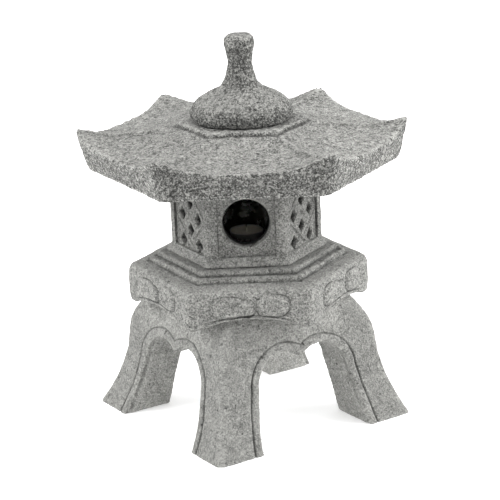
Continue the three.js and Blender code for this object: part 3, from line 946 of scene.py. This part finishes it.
def makeFinial(material):
    low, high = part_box("finial")
    seat = low.z + finial["tenon"]
    dome, tenon = finial["domeRadius"], finial["tenonRadius"]
    rings = [(tenon - 0.0015, low.z), (tenon, low.z + 0.0015), (tenon, seat), (dome - 0.0065, seat),
             (dome - 0.0018, seat + 0.0025), (dome, seat + 0.0075)]
    rings += [(reach, seat + height) for reach, height in finial["slope"]]
    rings += [(reach, high.z - depth) for reach, depth in finial["knob"]]
    piece = raiseForm("finial", 64, rings)
    castSkin(piece, finial["voxel"], 4)
    roughen(piece, finial["rough"])
    up = readPoints(piece)[:, 2] - seat
    # light dirt all over, and painted shade at the foot where it meets the roof's collar
    dirtAndShade = 0.10 + 0.12 * (1 - ramp(up, 0.0, 0.004))
    lowDome = 1 - ramp(up, 0.006, 0.022)
    knobFoot = ridge(up - finial["knobFoot"], finial["knobFootReach"])
    # painted shade on the low dome and under the knob
    paintWeather(piece, dirtAndShade, 0.05 + 0.32 * lowDome + 0.22 * knobFoot)
    closeUp("stone_finial", piece, "finial", "finial", material)


# candle cup and tealight

cup = {"radius": 0.026, "wall": 0.0025, "floor": 0.006}
tealight = {"radius": 0.019, "wall": 0.0006, "sustainer": 0.007, "wick": 0.0008, "wickSteps": 36,
            "plaitPitch": 0.0016}


def smokedGlass():
    glass = Recipe(bpy.data.materials.new("smoked_glass"))
    place = glass.place()
    haze = glass.noise(place, 0.020, 4, 0.6)
    dust = glass.between(haze, 0.45, 0.75)
    ripple = glass.noise(place, 0.030, 1)
    return glass.finish({
        "Base Color": glass.tint(dust * 0.5, grey(0.80, 0.02), grey(0.55, 0.02)),
        "Roughness": dust * 0.20 + 0.16,
        "Transmission Weight": 1.0,
        "IOR": 1.12,
        "Normal": glass.bump(ripple, 0.0015, 0.35),
    })


def thinAluminium():
    metal = Recipe(bpy.data.materials.new("thin_aluminium"))
    place = metal.place()
    grainLines = metal.noise(place, 0.0016, 3, 0.6)
    dents = metal.noise(place, 0.009, 2)
    return metal.finish({
        "Base Color": metal.tint(grainLines, grey(0.50), grey(0.68)),
        "Metallic": 1.0,
        "Roughness": metal.between(grainLines, 0.3, 0.7) * 0.16 + 0.28,
        "Normal": metal.bump(dents, 0.0012, 0.5),
    })


def candleWax():
    wax = Recipe(bpy.data.materials.new("candle_wax"))
    place = wax.place()
    cloud = wax.noise(place, 0.006, 4, 0.6)
    soot = wax.between(wax.noise(place, 0.0011, 2), 0.66, 0.72)
    colour = wax.tint(cloud, (0.62, 0.58, 0.50, 1), (0.78, 0.75, 0.68, 1))
    return wax.finish({
        "Base Color": wax.tint(soot * 0.5, colour, grey(0.08)),
        "Roughness": cloud * 0.2 + 0.35,
        "Normal": wax.bump(cloud, 0.0008, 0.5),
    })


def tinnedSteel():
    metal = Recipe(bpy.data.materials.new("tinned_steel"))
    place = metal.place()
    spangle = metal.grains(place, 0.0022, "Color")
    return metal.finish({
        "Base Color": metal.tint(spangle, grey(0.36), grey(0.52)),
        "Metallic": 1.0,
        "Roughness": metal.between(spangle, 0.0, 1.0) * 0.15 + 0.3,
    })


def cottonWick():
    cotton = Recipe(bpy.data.materials.new("cotton_wick"))
    place = cotton.place()
    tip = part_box("wick")[1].z
    char = cotton.between(cotton.parts(place)[2], tip - 0.005, tip - 0.002)
    fibre = cotton.noise(place, 0.0004, 3, 0.7)
    thread = cotton.tint(fibre, (0.52, 0.47, 0.38, 1), (0.74, 0.70, 0.60, 1))
    return cotton.finish({
        "Base Color": cotton.tint(char * 0.95, thread, grey(0.015)),
        "Roughness": 0.92,
        "Normal": cotton.bump(fibre, 0.0002, 0.8),
    })


def makeCup(material):
    low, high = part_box("candle_cup")
    radius, inner = cup["radius"], cup["radius"] - cup["wall"]
    floor = low.z + cup["floor"]
    rings = [(0.012, low.z + 0.0012), (0.014, low.z + 0.0002), (radius - 0.004, low.z),
             (radius - 0.0015, low.z + 0.0008), (radius - 0.0002, low.z + 0.003), (radius, low.z + 0.006),
             (radius, high.z - 0.0030), (radius + 0.0002, high.z - 0.0014),
             (radius - 0.0004, high.z - 0.0004), (radius - cup["wall"] / 2, high.z),
             (inner + 0.0003, high.z - 0.0005),
             (inner, high.z - 0.0016), (inner, floor + 0.004), (inner - 0.0012, floor + 0.0012),
             (inner - 0.0040, floor + 0.0001), (0.010, floor)]
    piece = raiseForm("cup", 96, rings)
    closeUp("glass_cup", piece, "candle_cup", "candle_cup", material, 40)


def makeTealight(tinMaterial, waxMaterial, steelMaterial, wickMaterial):
    low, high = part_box("tealight_tin")
    radius, inner = tealight["radius"], tealight["radius"] - tealight["wall"]
    rings = [(0.0135, low.z + 0.0006), (0.0150, low.z), (radius - 0.0012, low.z),
             (radius, low.z + 0.0012), (radius, low.z + 0.0026),
             (radius - 0.0003, low.z + 0.0032), (radius, low.z + 0.0038),
             (radius, high.z - 0.0012), (radius + 0.0006, high.z - 0.0007),
             (radius + 0.0007, high.z - 0.0003), (radius + 0.0003, high.z),
             (inner, high.z - 0.0003), (inner, low.z + 0.0016),
             (inner - 0.0010, low.z + tealight["wall"]), (0.004, low.z + tealight["wall"])]
    closeUp("tealight_tin_body", raiseForm("tin", 96, rings), "tealight",
            "tealight_tin", tinMaterial, 40)

    low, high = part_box("tealight_wax")
    reach, hole = high.x, tealight["wick"] + 0.0003
    rings = [(reach - 0.0015, low.z), (reach, low.z + 0.0015), (reach, high.z - 0.0002),
             (reach - 0.0004, high.z), (reach - 0.0016, high.z - 0.0006),
             (reach - 0.0050, high.z - 0.0009), (0.0050, high.z - 0.0012),
             (0.0022, high.z - 0.0008), (0.0012, high.z - 0.0004)]
    wax = raiseForm("wax", 96, rings)
    join(wax, raiseForm("wickHole", 24, [(hole, low.z - 0.001), (hole, high.z + 0.001)]))
    closeUp("tealight_wax_fill", wax, "tealight", "tealight_wax", waxMaterial, 50)

    low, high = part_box("wick_sustainer")
    reach = tealight["sustainer"]
    rings = [(reach - 0.0003, low.z), (reach, low.z + 0.0002), (reach, high.z - 0.0002),
             (reach - 0.0003, high.z), (reach - 0.0016, high.z), (reach - 0.0019, high.z - 0.0003),
             (reach - 0.0026, high.z - 0.0003), (reach - 0.0029, high.z), (0.0016, high.z)]
    closeUp("wick_foot", raiseForm("foot", 64, rings), "tealight", "wick_sustainer",
            steelMaterial, 30)

    low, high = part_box("wick")
    reach, steps = tealight["wick"], tealight["wickSteps"]
    rings = [(reach, low.z + (high.z - low.z - 0.0006) * step / steps) for step in range(steps + 1)]
    rings += [(reach * 0.8, high.z - 0.0002), (reach * 0.4, high.z)]
    wick = raiseForm("wick", 24, rings)
    points = readPoints(wick)
    angle = np.arctan2(points[:, 1], points[:, 0])
    twist = (points[:, 2] - low.z) / tealight["plaitPitch"] * math.pi
    plait = 1 - 0.16 * np.abs(np.sin(1.5 * angle + twist)) * np.abs(np.sin(1.5 * angle - twist))
    points[:, :2] *= plait[:, None]
    writePoints(wick, points)
    closeUp("cotton_wick_plait", wick, "tealight", "wick", wickMaterial)


# stage

view = {
    "target": (0.0031, 0.0, 0.1922), "distance": 2.3886, "elevation": 17.3, "roll": -2.3, "lens": 149.7,
}
# each lamp has its place, power and size
lights = {
    "horizon": 0.75, "overhead": 0.95, "behind": 0.55, "floorLevel": 0.80, "floorGlow": 0.22,
    "floorSize": 40,
    "lamps": {"left_lamp": ((-2.2, -0.3, 1.4), 72, 1.4), "right_lamp": ((2.3, -0.1, 1.2), 88, 1.4),
              "front_fill": ((0.4, -3.0, 0.9), 12, 2.0)},
}


def makeStage():
    deselectAll()
    bpy.ops.mesh.primitive_plane_add(size=lights["floorSize"])
    floor = bpy.context.object
    floor.name = "floor"
    paper = Recipe(bpy.data.materials.new("pale_floor"))
    floor.data.materials.append(paper.finish({
        "Base Color": grey(lights["floorLevel"]), "Roughness": 0.9,
        "Emission Color": grey(1.0), "Emission Strength": lights["floorGlow"]}))

    sky = Recipe(bpy.data.worlds.new("soft_sky"))
    along, height = sky.parts(sky.add("ShaderNodeTexCoord"))[1:]
    overhead = sky.between(height, -0.1, 0.9)
    behind = sky.between(along, -0.9, 0.3)
    light = overhead * lights["overhead"] + behind * lights["behind"] + lights["horizon"]
    background = sky.add("ShaderNodeBackground", None, {"Color": (1, 1, 1, 1), "Strength": light})
    sky.add("ShaderNodeOutputWorld", None, {"Surface": background})
    bpy.context.scene.world = sky.owner

    for name, (place, power, size) in lights["lamps"].items():
        bpy.ops.object.light_add(type="AREA", location=place)
        lamp = bpy.context.object
        lamp.name = name
        lamp.data.energy = power
        lamp.data.size = size
        lamp.rotation_euler = (-lamp.location).to_track_quat("-Z", "Y").to_euler()
    bpy.context.scene.view_settings.view_transform = "Standard"


def makeCamera():
    elevation = math.radians(view["elevation"])
    x, y, z = view["target"]
    reach = view["distance"]
    bpy.ops.object.camera_add(
        location=(x, y - reach * math.cos(elevation), z + reach * math.sin(elevation)),
        rotation=(math.radians(90) - elevation, 0, 0))
    camera = bpy.context.object
    camera.rotation_euler.rotate_axis("Z", math.radians(view["roll"]))
    camera.data.lens = view["lens"]
    camera.data.sensor_width = 36
    camera.data.clip_end = 50
    bpy.context.scene.camera = camera


makeCamera()
makeStage()
coarseStone = castStone("coarse_cast_stone", coarseLook)
smoothStone = castStone("smooth_cast_stone", smoothLook)
makeBase(castStone("leg_cast_stone", legLook))
makePlatform(smoothStone)
makeLightBox(smoothStone)
makeRoof(coarseStone)
makeFinial(coarseStone)
makeCup(smokedGlass())
makeTealight(thinAluminium(), candleWax(), tinnedSteel(), cottonWick())
